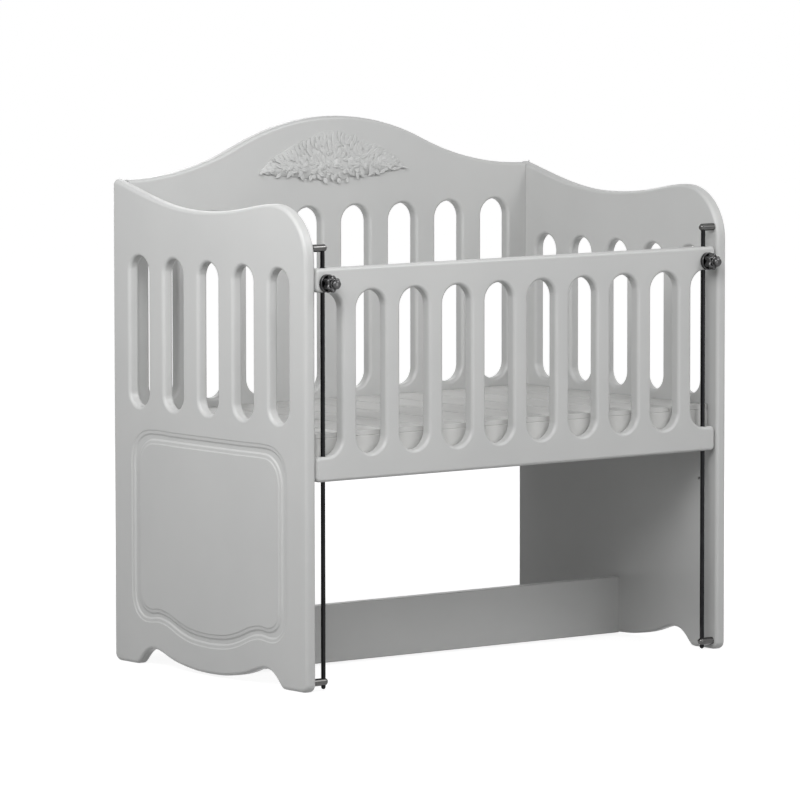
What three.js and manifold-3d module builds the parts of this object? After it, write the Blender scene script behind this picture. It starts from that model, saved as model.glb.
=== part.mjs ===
import * as THREE from 'three';
import { mergeVertices } from 'three/addons/utils/BufferGeometryUtils.js';
import Module from 'manifold-3d';

// Bedside crib in millimetres, +Z up, front towards -Y, length along X.
// Heights are above the floor. Depths (y) are counted from the middle of the end panels.

// Boards
const innerLength = 910;            // between the inner faces of the end panels
const panelDepth = 570;             // end panels, front edge to back edge
const boardThickness = 22;          // lacquered boards: ends, back, drop side, stretcher
const boardRound = 5;               // rounding of the boards' edges and slots
const seatGap = 0.3;                // left between pieces that rest on each other

const slotArcSteps = 8;             // facets round each end of a slot

// End panels
const endBackHeight = 866;          // top of the back corner
const endValleyHeight = 819;        // lowest point of the scooped top
const endValleyAt = 35;             // depth of that point
const endHumpHeight = 841.5;        // crest behind the front shoulder
const endHumpAt = -190;
const endShoulder = 95;             // radius that rolls the crest into the front edge
const endBackCorner = 14;
const endSlotCount = 5;
const endSlotPitch = 103;
const endSlotWidth = 57;
const endSlotBottom = 462;
const endSlotTop = 730;

// Feet and skirt of the end panels
const skirtCentre = 0;              // depth of the middle of the scalloped skirt
const skirtPeakOffset = 162;        // from that middle to each raised notch
const skirtPeakHeight = 31;
const skirtBellyHeight = 4;
const footEdgeOffset = 212;         // from that middle to the inner edge of each foot
const footCorner = 12;

// Routed frame line on the outer faces
const grooveHalfSpan = 231;
const grooveTop = 424;
const grooveBelly = 49;
const grooveHump = 81;
const grooveHumpOffset = 156;
const grooveCorner = 48;
const grooveWidth = 27;
const grooveDepth = 3;

// Back panel
const backBottom = 364;
const backEndHeight = 862;          // top edge where it meets the end panels
const backPeakHeight = 962;         // top of the arch
const archRadius = 505;             // round middle of the arch, the hollow flanks follow from it
const backSlotCount = 8;
const backSlotPitch = 108.6;
const backSlotWidth = 63;
const backSlotBottom = 461;
const backSlotTop = 797;

// Drop side, shown raised
const dropBottom = 364;
const dropTop = 734;
const dropEndGap = 3;               // to each end panel
const dropFrontSet = 1;             // front face behind the front edge of the end panels
const dropSlotCount = 8;
const dropOpenFromRod = 3.8;        // middle of the open end slots to the rods, towards the middle
const dropSlotWidth = 64;
const dropSlotBottom = 408;
const dropSlotTop = 692;
const dropCorner = 8;

// Guide rods, studs and sleeves
const rodRadius = 4;
const rodFromPanel = 23.7;          // rod axis to the inner face of the end panel
const rodTip = 3;                   // height of the lower tip
const studRadius = 6.7;
const studPastRod = 7.5;
const dropToStud = 34.5;            // top of the raised drop side to the axis of the upper studs
const studBottomHeight = 16;
const studDome = 3;
const studThreadRadius = 3.5;
const studThreadLength = 14;
const rodSocketDepth = 4;           // rod end above the axis of the upper stud
const rodSeat = 0.15;               // between the rod and the studs
const sleeveRadius = 6.2;
const sleeveRunning = 0.1;          // between the rod and a sleeve
const sleeveFlange = 1;             // sleeve ends inside the wood

// Clamp knobs
const clampBelowTop = 26;           // knob axis to the top of the drop side
const rosetteRadius = 16;
const rosetteThickness = 7;
const rosetteBossRadius = 6;
const screwRadius = 3;
const screwRunning = 0.1;
const padRadius = 2.7;
const padThickness = 1.4;
const padToRod = 0.2;
const knobGap = 0.6;                // knob to rosette when clamped
const knobLobes = 6;
const knobRadius = 15;
const knobFlute = 3.5;
const knobBodyLength = 15;
const knobRound = 3;
const capRadius = 8.2;
const clampReach = 34;              // front of the cap to the face of the drop side

// Slatted base
const baseTop = 446;                // top of the slats
const slatThickness = 8;
const slatCount = 10;
const slatGap = 6;
const slatRound = 2;
const railHeight = 40;
const frontRailThickness = 15;
const sideRailThickness = 28.5;
const baseToDrop = 2;               // running gap between the base and the drop side
const baseBoltDepth = 236;          // front and back bolts, from the middle
const baseBoltHeight = 419;
const spareBoltHeight = 309;        // holes for the lower setting
const baseBoltRadius = 3;
const baseBoltGrip = 13;            // length inside the end panel
const baseBoltHeadRadius = 6;
const baseBoltHead = 3;
const holeClearance = 0.3;

// Lower stretcher
const stretcherBottom = 4;
const stretcherTop = 108;
const stretcherRound = 2.5;

// Knock-down fittings
const camRadius = 7.5;
const camLength = 12.5;
const camInset = 24;                // cam axis to the end of its board
const camBoltRadius = 2.5;
const camBoltHeadRadius = 3.5;
const camBoltHead = 4;
const camBoltGrip = 11;
const backCamHeights = { upper: 826, lower: 415 };
const stretcherCamHeight = 82;
const dowelRadius = 4;
const dowelLength = 30;
const dowelRunning = 0.15;
const backDowelHeights = { upper: 600, lower: 385 };
const stretcherDowelHeight = 30;

// Carved spray on the back panel
const sprayWidth = 336;
const sprayHeight = 98;
const sprayBelowPeak = 22;          // tip of the spray to the top of the arch
const sprayThickness = 12;
const sprayRound = 3;

// Places that follow from the sizes above
const outerHalf = innerLength / 2 + boardThickness;
const innerHalf = innerLength / 2;
const halfDepth = panelDepth / 2;
const dropFront = -halfDepth + dropFrontSet;
const dropBack = dropFront + boardThickness;
const dropHalf = innerHalf - dropEndGap;
const rodDepth = dropFront + boardThickness / 2;
const rodAcross = innerHalf - rodFromPanel;
const backFace = halfDepth - boardThickness;
const railTop = baseTop - slatThickness - seatGap;
const railBottom = railTop - railHeight;
const baseFront = dropBack + baseToDrop;
const baseBack = backFace - seatGap;
const sideRailInner = innerHalf - seatGap - sideRailThickness;
const studTopHeight = dropTop + dropToStud;
const clampHeight = dropTop - clampBelowTop;
const sprayTop = backPeakHeight - sprayBelowPeak;
const sprayBottom = sprayTop - sprayHeight;
const rodTop = studTopHeight + rodSocketDepth;
const dropOpenAt = rodAcross - dropOpenFromRod;
const dropSlotPitch = 2 * dropOpenAt / (dropSlotCount + 1);
const clampTip = dropFront - clampReach;
const floorShift = -(clampTip + halfDepth) / 2;   // puts the origin under the middle of the whole crib
const padBack = rodDepth - rodRadius - padToRod;
const padFront = padBack - padThickness;
const screwTip = padFront - seatGap;
const rosetteFront = dropFront - rosetteThickness;
const knobBack = rosetteFront - knobGap;
const sides = { left: -1, right: 1 };

const wasm = await Module();
wasm.setup();

const finishes = {
  lacquer: { color: 0xd9d9d7, roughness: 0.32, metalness: 0 },
  shadedBoard: { color: 0xcfcfcc, roughness: 0.5, metalness: 0 },
  slat: { color: 0xc9c8c4, roughness: 0.6, metalness: 0 },
  chrome: { color: 0x4c4c4e, roughness: 0.12, metalness: 1 },
  nylon: { color: 0xdededa, roughness: 0.5, metalness: 0 },
  zinc: { color: 0x9b9c9c, roughness: 0.4, metalness: 1 },
  beech: { color: 0xcaa878, roughness: 0.65, metalness: 0 },
};

// A closed geometry becomes a solid once equal corners are merged and flat triangles dropped.
function solidOf(geometry) {
  const bare = geometry.clone();
  bare.deleteAttribute('normal');
  bare.deleteAttribute('uv');
  const merged = mergeVertices(bare, 1e-4);
  const index = merged.index.array;
  const kept = [];
  for (let i = 0; i < index.length; i += 3) {
    const [a, b, c] = [index[i], index[i + 1], index[i + 2]];
    if (a !== b && b !== c && c !== a) kept.push(a, b, c);
  }
  return new wasm.Manifold(new wasm.Mesh({
    numProp: 3,
    vertProperties: new Float32Array(merged.attributes.position.array),
    triVerts: new Uint32Array(kept),
  }));
}

function geometryOf(solid) {
  const mesh = solid.getMesh();
  const geometry = new THREE.BufferGeometry();
  geometry.setAttribute('position', new THREE.BufferAttribute(new Float32Array(mesh.vertProperties), 3));
  geometry.setIndex(new THREE.BufferAttribute(new Uint32Array(mesh.triVerts), 1));
  geometry.computeVertexNormals();
  return geometry;
}

function cut(geometry, tools) {
  return geometryOf(tools.reduce((solid, tool) => solid.subtract(solidOf(tool)), solidOf(geometry)));
}

function join(geometry, others) {
  return geometryOf(others.reduce((solid, other) => solid.add(solidOf(other)), solidOf(geometry)));
}

// Cylinders along each axis, from one coordinate to another, for bores and plain shafts
function rodAlongX(radius, from, to, y, z, segments = 20) {
  const geometry = new THREE.CylinderGeometry(radius, radius, Math.abs(to - from), segments);
  geometry.rotateZ(Math.PI / 2);
  return geometry.translate((from + to) / 2, y, z);
}

function rodAlongY(radius, from, to, x, z, segments = 20) {
  const geometry = new THREE.CylinderGeometry(radius, radius, Math.abs(to - from), segments);
  return geometry.translate(x, (from + to) / 2, z);
}

function rodAlongZ(radius, from, to, x, y, segments = 20) {
  const geometry = new THREE.CylinderGeometry(radius, radius, Math.abs(to - from), segments);
  geometry.rotateX(Math.PI / 2);
  return geometry.translate(x, y, (from + to) / 2);
}

// A round piece from its half profile, given as [radius, distance along its axis]
function turned(profile, segments = 24) {
  return new THREE.LatheGeometry(profile.map(([radius, along]) => new THREE.Vector2(radius, along)), segments);
}

// A board with every edge rounded: local z runs from 0 to its thickness.
function roundedBoard(shape, thickness, round, curveSegments = 8) {
  const geometry = new THREE.ExtrudeGeometry(shape, {
    depth: thickness - 2 * round,
    bevelThickness: round,
    bevelSize: round,
    bevelOffset: -round,
    bevelSegments: 2,
    curveSegments,
  });
  return geometry.translate(0, 0, round);
}

function slotPath(centre, width, bottom, top) {
  const radius = width / 2;
  const arc = (height, start) => Array.from({ length: slotArcSteps + 1 }, (_, i) => {
    const angle = start + i / slotArcSteps * Math.PI;
    return new THREE.Vector2(centre + radius * Math.cos(angle), height + radius * Math.sin(angle));
  });
  return new THREE.Path([...arc(bottom + radius, Math.PI), ...arc(top - radius, 0)]);
}

function addSlots(shape, count, pitch, width, bottom, top) {
  for (let i = 0; i < count; i += 1) {
    const centre = (i - (count - 1) / 2) * pitch;
    shape.holes.push(slotPath(centre, width, bottom, top));
  }
}

const group = new THREE.Group();
group.position.y = floorShift;

function addPiece(name, geometry, finish) {
  const mesh = new THREE.Mesh(geometry, new THREE.MeshStandardMaterial(finishes[finish]));
  mesh.name = name;
  group.add(mesh);
  return mesh;
}

// Stands a board upright so that its local x, y and z run along the given world directions.
function stand(mesh, alongX, alongZ, position) {
  mesh.quaternion.setFromRotationMatrix(new THREE.Matrix4().makeBasis(alongX, new THREE.Vector3(0, 0, 1), alongZ));
  mesh.position.copy(position);
}

// End panels: local x runs front to back, mirrored by side, and local z from the outer face inwards.
function endOutline(side) {
  const at = (depth) => -side * depth;
  const notch = footEdgeOffset - skirtPeakOffset;
  const shape = new THREE.Shape();
  shape.moveTo(at(-halfDepth), footCorner);
  shape.quadraticCurveTo(at(-halfDepth), 0, at(-halfDepth + footCorner), 0);
  addSkirt(shape, at, notch);
  shape.quadraticCurveTo(at(halfDepth), 0, at(halfDepth), footCorner);
  shape.lineTo(at(halfDepth), endBackHeight - endBackCorner);
  shape.quadraticCurveTo(at(halfDepth), endBackHeight, at(halfDepth - endBackCorner),
    endBackHeight - endBackCorner * 0.27);
  shape.bezierCurveTo(at(halfDepth - 90), endBackHeight - 24, at(endValleyAt + 90), endValleyHeight,
    at(endValleyAt), endValleyHeight);
  shape.bezierCurveTo(at(endValleyAt - 125), endValleyHeight, at(endHumpAt + 55), endHumpHeight,
    at(endHumpAt), endHumpHeight);
  const reach = 0.5523 * endShoulder;
  shape.bezierCurveTo(at(endHumpAt - reach), endHumpHeight, at(-halfDepth), endHumpHeight - endShoulder + reach,
    at(-halfDepth), endHumpHeight - endShoulder);
  shape.closePath();
  return shape;
}

// Lower edge from the front foot to the back foot: each foot steps up to a raised notch,
// and the skirt between the notches sags to a belly just above the floor.
function addSkirt(shape, at, notch) {
  const place = (offset) => at(skirtCentre + offset);
  shape.lineTo(place(-footEdgeOffset), 0);
  shape.bezierCurveTo(place(-footEdgeOffset + notch / 2), 0, place(-skirtPeakOffset - notch / 3), skirtPeakHeight,
    place(-skirtPeakOffset), skirtPeakHeight);
  shape.bezierCurveTo(place(-skirtPeakOffset / 1.5), skirtPeakHeight - 3, place(-skirtPeakOffset / 2),
    skirtBellyHeight, place(0), skirtBellyHeight);
  shape.bezierCurveTo(place(skirtPeakOffset / 2), skirtBellyHeight, place(skirtPeakOffset / 1.5),
    skirtPeakHeight - 3, place(skirtPeakOffset), skirtPeakHeight);
  shape.bezierCurveTo(place(skirtPeakOffset + notch / 3), skirtPeakHeight, place(footEdgeOffset - notch / 2), 0,
    place(footEdgeOffset), 0);
  shape.lineTo(at(halfDepth - footCorner), 0);
}

// Outline of the routed line, drawn in by inset for its inner edge
function grooveOutline(side, inset) {
  const at = (depth) => -side * depth;
  const span = grooveHalfSpan - inset;
  const top = grooveTop - inset;
  const corner = grooveCorner - inset / 2;
  const hump = grooveHump + inset;
  const belly = grooveBelly + inset;
  const path = new THREE.Shape();
  path.moveTo(at(span), top - corner);
  path.quadraticCurveTo(at(span), top, at(span - corner), top);
  path.lineTo(at(-span + corner), top);
  path.quadraticCurveTo(at(-span), top, at(-span), top - corner);
  path.lineTo(at(-span), hump + corner / 2);
  path.bezierCurveTo(at(-span), hump - corner / 4, at(-span + corner / 2), hump,
    at(skirtCentre - grooveHumpOffset), hump);
  path.bezierCurveTo(at(skirtCentre - grooveHumpOffset / 1.4), hump, at(skirtCentre - grooveHumpOffset / 2), belly,
    at(skirtCentre), belly);
  path.bezierCurveTo(at(skirtCentre + grooveHumpOffset / 2), belly, at(skirtCentre + grooveHumpOffset / 1.4), hump,
    at(skirtCentre + grooveHumpOffset), hump);
  path.bezierCurveTo(at(span - corner / 2), hump, at(span), hump - corner / 4, at(span), hump + corner / 2);
  path.closePath();
  return path;
}

function grooveTool(side) {
  const slab = (inset, low, high) => new THREE.ExtrudeGeometry(grooveOutline(side, inset),
    { depth: high - low, bevelEnabled: false, curveSegments: 5 }).translate(0, 0, low);
  return cut(slab(0, -1, grooveDepth), [slab(grooveWidth, -2, grooveDepth + 1)]);
}

function endPanelHoles(side) {
  const at = (depth) => -side * depth;
  const from = boardThickness + 1;
  const blind = (radius, length, depth, height, segments = 12) =>
    rodAlongZ(radius, boardThickness - length, from, at(depth), height, segments);
  const holes = [];
  for (const height of [studTopHeight, studBottomHeight]) {
    holes.push(blind(studThreadRadius + holeClearance, studThreadLength + holeClearance, rodDepth, height));
  }
  for (const depth of [-baseBoltDepth, baseBoltDepth]) {
    for (const height of [baseBoltHeight, spareBoltHeight]) {
      holes.push(blind(baseBoltRadius + holeClearance, baseBoltGrip + holeClearance, depth, height));
    }
  }
  const camHeights = [[backCamHeights.upper, backMiddle], [backCamHeights.lower, backMiddle], [stretcherCamHeight, 0]];
  for (const [height, depth] of camHeights) {
    holes.push(blind(camBoltRadius + holeClearance, camBoltGrip + holeClearance, depth, height, 10));
  }
  const dowels = [[backDowelHeights.upper, backMiddle], [backDowelHeights.lower, backMiddle], [stretcherDowelHeight, 0]];
  for (const [height, depth] of dowels) {
    holes.push(blind(dowelRadius + dowelRunning, dowelLength / 2 + seatGap, depth, height));
  }
  return holes;
}

const backMiddle = halfDepth - boardThickness / 2;

for (const [name, side] of Object.entries(sides)) {
  const shape = endOutline(side);
  addSlots(shape, endSlotCount, endSlotPitch, endSlotWidth, endSlotBottom, endSlotTop);
  const board = roundedBoard(shape, boardThickness, boardRound, 6);
  const panel = addPiece(`${name}_end_panel`, cut(board, [grooveTool(side), ...endPanelHoles(side)]), 'lacquer');
  stand(panel, new THREE.Vector3(0, -side, 0), new THREE.Vector3(-side, 0, 0),
    new THREE.Vector3(side * outerHalf, 0, 0));
}

// Back panel and drop side: local x along the crib, local z from the back face to the front.
const forward = new THREE.Vector3(0, -1, 0);
const alongCrib = new THREE.Vector3(1, 0, 0);

// Two round flanks meet the round middle of the arch without a corner.
function backOutline() {
  const half = innerHalf - seatGap;
  const rise = backPeakHeight - backEndHeight;
  const angle = 2 * Math.atan(rise / half);
  const flankRadius = half / Math.sin(angle) - archRadius;
  const shape = new THREE.Shape();
  shape.moveTo(-half, backBottom);
  shape.lineTo(half, backBottom);
  shape.lineTo(half, backEndHeight);
  shape.absarc(half, backEndHeight + flankRadius, flankRadius, -Math.PI / 2, -Math.PI / 2 - angle, true);
  shape.absarc(0, backPeakHeight - archRadius, archRadius, Math.PI / 2 - angle, Math.PI / 2 + angle, false);
  shape.absarc(-half, backEndHeight + flankRadius, flankRadius, -Math.PI / 2 + angle, -Math.PI / 2, true);
  shape.closePath();
  return shape;
}

// Bores for cams, their bolts and dowels at both ends of a board that stands between the end panels
function fittingHoles(camHeights, dowelHeights) {
  const middle = boardThickness / 2;
  const holes = [];
  for (const side of Object.values(sides)) {
    const end = side * (innerHalf + 1);
    for (const height of camHeights) {
      const x = side * (innerHalf - camInset);
      holes.push(rodAlongZ(camRadius + holeClearance, -1, camLength + holeClearance, x, height, 20));
      holes.push(rodAlongX(camBoltHeadRadius + holeClearance, x, end, height, middle, 12));
    }
    for (const height of dowelHeights) {
      const reach = side * (innerHalf - dowelLength / 2 - seatGap);
      holes.push(rodAlongX(dowelRadius + dowelRunning, reach, end, height, middle, 12));
    }
  }
  return holes;
}

const backShape = backOutline();
addSlots(backShape, backSlotCount, backSlotPitch, backSlotWidth, backSlotBottom, backSlotTop);
const backPanel = addPiece('back_panel', cut(
  roundedBoard(backShape, boardThickness, boardRound, 6),
  fittingHoles(Object.values(backCamHeights), Object.values(backDowelHeights)),
), 'lacquer');
stand(backPanel, alongCrib, forward, new THREE.Vector3(0, halfDepth, 0));

// Drop side: eight whole slots, and at each end a slot left open towards the end panel.
function dropOutline() {
  const radius = dropSlotWidth / 2;
  const openAt = dropOpenAt;
  const shape = new THREE.Shape();
  const corner = (x, z, inX, inZ, outX, outZ) => {
    shape.lineTo(x + inX * dropCorner, z + inZ * dropCorner);
    shape.quadraticCurveTo(x, z, x + outX * dropCorner, z + outZ * dropCorner);
  };
  shape.moveTo(-dropHalf + dropCorner, dropBottom);
  corner(dropHalf, dropBottom, -1, 0, 0, 1);
  corner(dropHalf, dropSlotBottom, 0, -1, -1, 0);
  shape.lineTo(openAt, dropSlotBottom);
  shape.absarc(openAt, dropSlotBottom + radius, radius, -Math.PI / 2, -Math.PI, true);
  shape.absarc(openAt, dropSlotTop - radius, radius, Math.PI, Math.PI / 2, true);
  corner(dropHalf, dropSlotTop, -1, 0, 0, 1);
  corner(dropHalf, dropTop, 0, -1, -1, 0);
  corner(-dropHalf, dropTop, 1, 0, 0, -1);
  corner(-dropHalf, dropSlotTop, 0, 1, 1, 0);
  shape.lineTo(-openAt, dropSlotTop);
  shape.absarc(-openAt, dropSlotTop - radius, radius, Math.PI / 2, 0, true);
  shape.absarc(-openAt, dropSlotBottom + radius, radius, 0, -Math.PI / 2, true);
  corner(-dropHalf, dropSlotBottom, 1, 0, 0, -1);
  corner(-dropHalf, dropBottom, 0, 1, 1, 0);
  shape.closePath();
  return shape;
}

function dropHoles() {
  const middle = boardThickness / 2;
  const sleeve = sleeveRadius + holeClearance;
  const holes = [];
  for (const side of Object.values(sides)) {
    const x = side * rodAcross;
    holes.push(rodAlongY(sleeve, dropBottom - 1, dropSlotBottom + 1, x, middle, 16));
    holes.push(rodAlongY(sleeve, dropSlotTop - 1, dropTop + 1, x, middle, 16));
    holes.push(rodAlongZ(rosetteBossRadius + holeClearance, middle, boardThickness + 1, x, clampHeight, 16));
  }
  return holes;
}

const dropShape = dropOutline();
addSlots(dropShape, dropSlotCount, dropSlotPitch, dropSlotWidth, dropSlotBottom, dropSlotTop);
const dropPanel = addPiece('drop_side_panel',
  cut(roundedBoard(dropShape, boardThickness, boardRound, 4), dropHoles()), 'lacquer');
stand(dropPanel, alongCrib, forward, new THREE.Vector3(0, dropBack, 0));

// Lower stretcher, flat across the middle of the crib
const stretcherShape = new THREE.Shape();
stretcherShape.moveTo(-innerHalf + seatGap, stretcherBottom);
stretcherShape.lineTo(innerHalf - seatGap, stretcherBottom);
stretcherShape.lineTo(innerHalf - seatGap, stretcherTop);
stretcherShape.lineTo(-innerHalf + seatGap, stretcherTop);
stretcherShape.closePath();
const stretcher = addPiece('lower_stretcher', cut(
  roundedBoard(stretcherShape, boardThickness, stretcherRound),
  fittingHoles([stretcherCamHeight], [stretcherDowelHeight]),
), 'shadedBoard');
stand(stretcher, alongCrib, forward, new THREE.Vector3(0, boardThickness / 2, 0));

// Guide rods, with round tips, and the studs that hold them
for (const [name, side] of Object.entries(sides)) {
  const x = side * rodAcross;
  const rod = addPiece(`guide_rod_${name}`, turned([
    [0, rodTip], [rodRadius * 0.7, rodTip + 1], [rodRadius, rodTip + 3],
    [rodRadius, rodTop - 1], [rodRadius - 1, rodTop], [0, rodTop],
  ], 20), 'chrome');
  rod.rotation.x = Math.PI / 2;
  rod.position.set(x, rodDepth, 0);

  const reach = rodFromPanel + studPastRod;
  const profile = [
    [0, -studThreadLength], [studThreadRadius, -studThreadLength], [studThreadRadius, seatGap],
    [studRadius, seatGap], [studRadius, reach - studDome], [studRadius * 0.72, reach - studDome * 0.2],
    [0, reach],
  ];
  const heights = { top: studTopHeight, bottom: studBottomHeight };
  for (const [end, height] of Object.entries(heights)) {
    const socketTop = end === 'top' ? rodSocketDepth + rodSeat : studRadius + 1;
    const socket = rodAlongZ(rodRadius + rodSeat, -studRadius - 1, socketTop, 0, 0, 20);
    const stud = turned(profile, 20);
    stud.rotateZ(side * Math.PI / 2);
    stud.translate(side * rodFromPanel, 0, 0);
    const piece = addPiece(`rod_stud_${name}_${end}`, cut(stud, [socket]), 'chrome');
    piece.position.set(x, rodDepth, height);
  }
}

// Nylon sleeves in the ears and in the lower rail. The clamp pad reaches the rod through the upper ones.
function sleeve(bottom, top) {
  const bore = rodRadius + sleeveRunning;
  return turned([
    [bore, bottom + sleeveFlange], [sleeveRadius, bottom + sleeveFlange], [sleeveRadius, top - sleeveFlange],
    [bore, top - sleeveFlange], [bore, bottom + sleeveFlange],
  ], 16).rotateX(Math.PI / 2);
}

for (const [name, side] of Object.entries(sides)) {
  const window = rodAlongY(padRadius + 2 * holeClearance, -sleeveRadius - 1, -1, 0, clampHeight, 16);
  const upper = addPiece(`rod_sleeve_${name}_top`, cut(sleeve(dropSlotTop, dropTop), [window]), 'nylon');
  const lower = addPiece(`rod_sleeve_${name}_bottom`, sleeve(dropBottom, dropSlotBottom), 'nylon');
  for (const piece of [upper, lower]) piece.position.set(side * rodAcross, rodDepth, 0);
}

// Clamps: a rosette with a threaded boss, a screw with a lobed knob, and a pad that presses on the rod.
function knobOutline() {
  const shape = new THREE.Shape();
  const steps = knobLobes * 6;
  for (let i = 0; i < steps; i += 1) {
    const angle = i / steps * 2 * Math.PI;
    const radius = knobRadius - knobFlute * Math.abs(Math.sin(knobLobes * angle / 2)) ** 3;
    const point = [radius * Math.cos(angle), radius * Math.sin(angle)];
    if (i === 0) shape.moveTo(...point);
    else shape.lineTo(...point);
  }
  shape.closePath();
  return shape;
}

function knobGeometry() {
  const body = roundedBoard(knobOutline(), knobBodyLength, knobRound);
  const capStart = knobBodyLength - 1;
  const capEnd = knobBack - clampTip;
  const cap = turned([
    [0, capStart], [capRadius * 0.8, capStart], [capRadius * 0.8, knobBodyLength + 4],
    [capRadius, knobBodyLength + 5.5], [capRadius, capEnd - 4], [capRadius * 0.75, capEnd - 1], [0, capEnd],
  ], 24).rotateX(Math.PI / 2);
  const bore = rodAlongZ(screwRadius + holeClearance, -1, knobBodyLength - 6, 0, 0, 16);
  return cut(join(body, [cap]), [bore]);
}

for (const [name, side] of Object.entries(sides)) {
  const x = side * rodAcross;
  const bossEnd = rodDepth - sleeveRadius - seatGap;
  const rosette = addPiece(`clamp_rosette_${name}`, turned([
    [screwRadius + screwRunning, -rosetteThickness], [rosetteRadius - 1, -rosetteThickness],
    [rosetteRadius, 1 - rosetteThickness], [rosetteRadius, -seatGap], [rosetteBossRadius, -seatGap],
    [rosetteBossRadius, bossEnd - dropFront], [screwRadius + screwRunning, bossEnd - dropFront],
    [screwRadius + screwRunning, -rosetteThickness],
  ], 24), 'chrome');
  rosette.position.set(x, dropFront, clampHeight);

  const pad = addPiece(`clamp_pad_${name}`, turned([
    [0, padFront], [padRadius, padFront], [padRadius, padBack - 0.3], [padRadius - 0.6, padBack], [0, padBack],
  ], 16), 'nylon');
  pad.position.set(x, 0, clampHeight);

  const screw = addPiece(`clamp_screw_${name}`, turned([
    [0, knobBack - knobBodyLength + 6.5], [screwRadius, knobBack - knobBodyLength + 6.5],
    [screwRadius, screwTip - 0.6], [screwRadius - 0.6, screwTip], [0, screwTip],
  ], 16), 'zinc');
  screw.position.set(x, 0, clampHeight);

  const knob = addPiece(`clamp_knob_${name}`, knobGeometry(), 'chrome');
  knob.rotation.x = Math.PI / 2;
  knob.position.set(x, knobBack, clampHeight);
}

// Slatted base: front and back rails between two side rails, slats across the top
function plank(width, depth, height, round) {
  const shape = new THREE.Shape();
  shape.moveTo(-width / 2, 0);
  shape.lineTo(width / 2, 0);
  shape.lineTo(width / 2, height - round);
  shape.quadraticCurveTo(width / 2, height, width / 2 - round, height);
  shape.lineTo(-width / 2 + round, height);
  shape.quadraticCurveTo(-width / 2, height, -width / 2, height - round);
  shape.closePath();
  const geometry = new THREE.ExtrudeGeometry(shape, { depth, bevelEnabled: false, curveSegments: 3 });
  return geometry.rotateX(Math.PI / 2).translate(0, depth / 2, 0);
}

const baseDepth = baseBack - baseFront;
const baseMiddle = (baseBack + baseFront) / 2;
const railGap = seatGap;
const crossRailLength = 2 * (sideRailInner - railGap);
const crossRails = {
  front: baseFront + frontRailThickness / 2,
  back: baseBack - frontRailThickness / 2,
};
for (const [name, depth] of Object.entries(crossRails)) {
  const rail = addPiece(`base_${name}_rail`, plank(frontRailThickness, crossRailLength, railHeight, slatRound), 'slat');
  rail.rotation.z = Math.PI / 2;
  rail.position.set(0, depth, railBottom);
}

for (const [name, side] of Object.entries(sides)) {
  const x = side * (innerHalf - seatGap - sideRailThickness / 2);
  const bores = [-baseBoltDepth, baseBoltDepth].map((depth) => rodAlongX(baseBoltRadius + holeClearance,
    -sideRailThickness, sideRailThickness, depth - baseMiddle, baseBoltHeight - railBottom, 16));
  const board = cut(plank(sideRailThickness, baseDepth, railHeight, slatRound), bores);
  addPiece(`base_${name}_rail`, board, 'slat').position.set(x, baseMiddle, railBottom);

  const places = { front: -baseBoltDepth, back: baseBoltDepth };
  for (const [end, depth] of Object.entries(places)) {
    const grip = sideRailThickness + seatGap + baseBoltGrip;
    const bolt = turned([
      [0, -baseBoltHead - seatGap], [baseBoltHeadRadius * 0.7, -baseBoltHead - seatGap],
      [baseBoltHeadRadius, -seatGap - 0.8], [baseBoltHeadRadius, -seatGap], [baseBoltRadius, -seatGap],
      [baseBoltRadius, grip], [0, grip],
    ], 12);
    bolt.rotateZ(-side * Math.PI / 2);
    addPiece(`base_bolt_${name}_${end}`, bolt, 'zinc').position.set(side * sideRailInner, depth, baseBoltHeight);
  }
}

const slatSpan = 2 * (innerHalf - seatGap - 1);
const slatWidth = (slatSpan - (slatCount - 1) * slatGap) / slatCount;
for (let i = 0; i < slatCount; i += 1) {
  const x = (i - (slatCount - 1) / 2) * (slatWidth + slatGap);
  const name = `base_slat_${String(i + 1).padStart(2, '0')}`;
  addPiece(name, plank(slatWidth, baseDepth - 2, slatThickness, slatRound), 'slat').position.set(x, baseMiddle,
    baseTop - slatThickness);
}

// Cams with their bolts, and dowels, for boards that stand between the end panels
function camGeometry() {
  const drum = rodAlongZ(camRadius, seatGap, camLength, 0, 0, 20);
  const mouth = rodAlongX(camBoltHeadRadius + 2 * holeClearance, -camRadius, camRadius + 1, 0, boardThickness / 2, 12);
  const cross = new THREE.BoxGeometry(8, 1.6, 3).translate(0, 0, seatGap);
  return cut(drum, [mouth, cross]);
}

function camBolt() {
  const headEnd = camInset - camBoltHead / 2;
  const neck = headEnd - camBoltHead;
  return turned([
    [0, -camBoltGrip], [camBoltRadius, -camBoltGrip], [camBoltRadius, neck], [camBoltHeadRadius, neck + 1],
    [camBoltHeadRadius, headEnd], [0, headEnd],
  ], 12);
}

function addFitting(label, side, backY, camHeight) {
  const middle = backY - boardThickness / 2;
  const cam = addPiece(`cam_${label}`, camGeometry(), 'zinc');
  stand(cam, alongCrib, forward, new THREE.Vector3(side * (innerHalf - camInset), backY, camHeight));
  const bolt = addPiece(`cam_bolt_${label}`, camBolt().rotateZ(side * Math.PI / 2), 'zinc');
  bolt.position.set(side * innerHalf, middle, camHeight);
}

function addDowel(label, side, middle, height) {
  const dowel = rodAlongX(dowelRadius, -dowelLength / 2, dowelLength / 2, 0, 0, 12);
  addPiece(`dowel_${label}`, dowel, 'beech').position.set(side * innerHalf, middle, height);
}

for (const [name, side] of Object.entries(sides)) {
  for (const [level, height] of Object.entries(backCamHeights)) {
    addFitting(`back_${name}_${level}`, side, halfDepth, height);
  }
  addFitting(`stretcher_${name}`, side, boardThickness / 2, stretcherCamHeight);
  for (const [level, height] of Object.entries(backDowelHeights)) {
    addDowel(`back_${name}_${level}`, side, backMiddle, height);
  }
  addDowel(`stretcher_${name}`, side, 0, stretcherDowelHeight);
}

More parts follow.
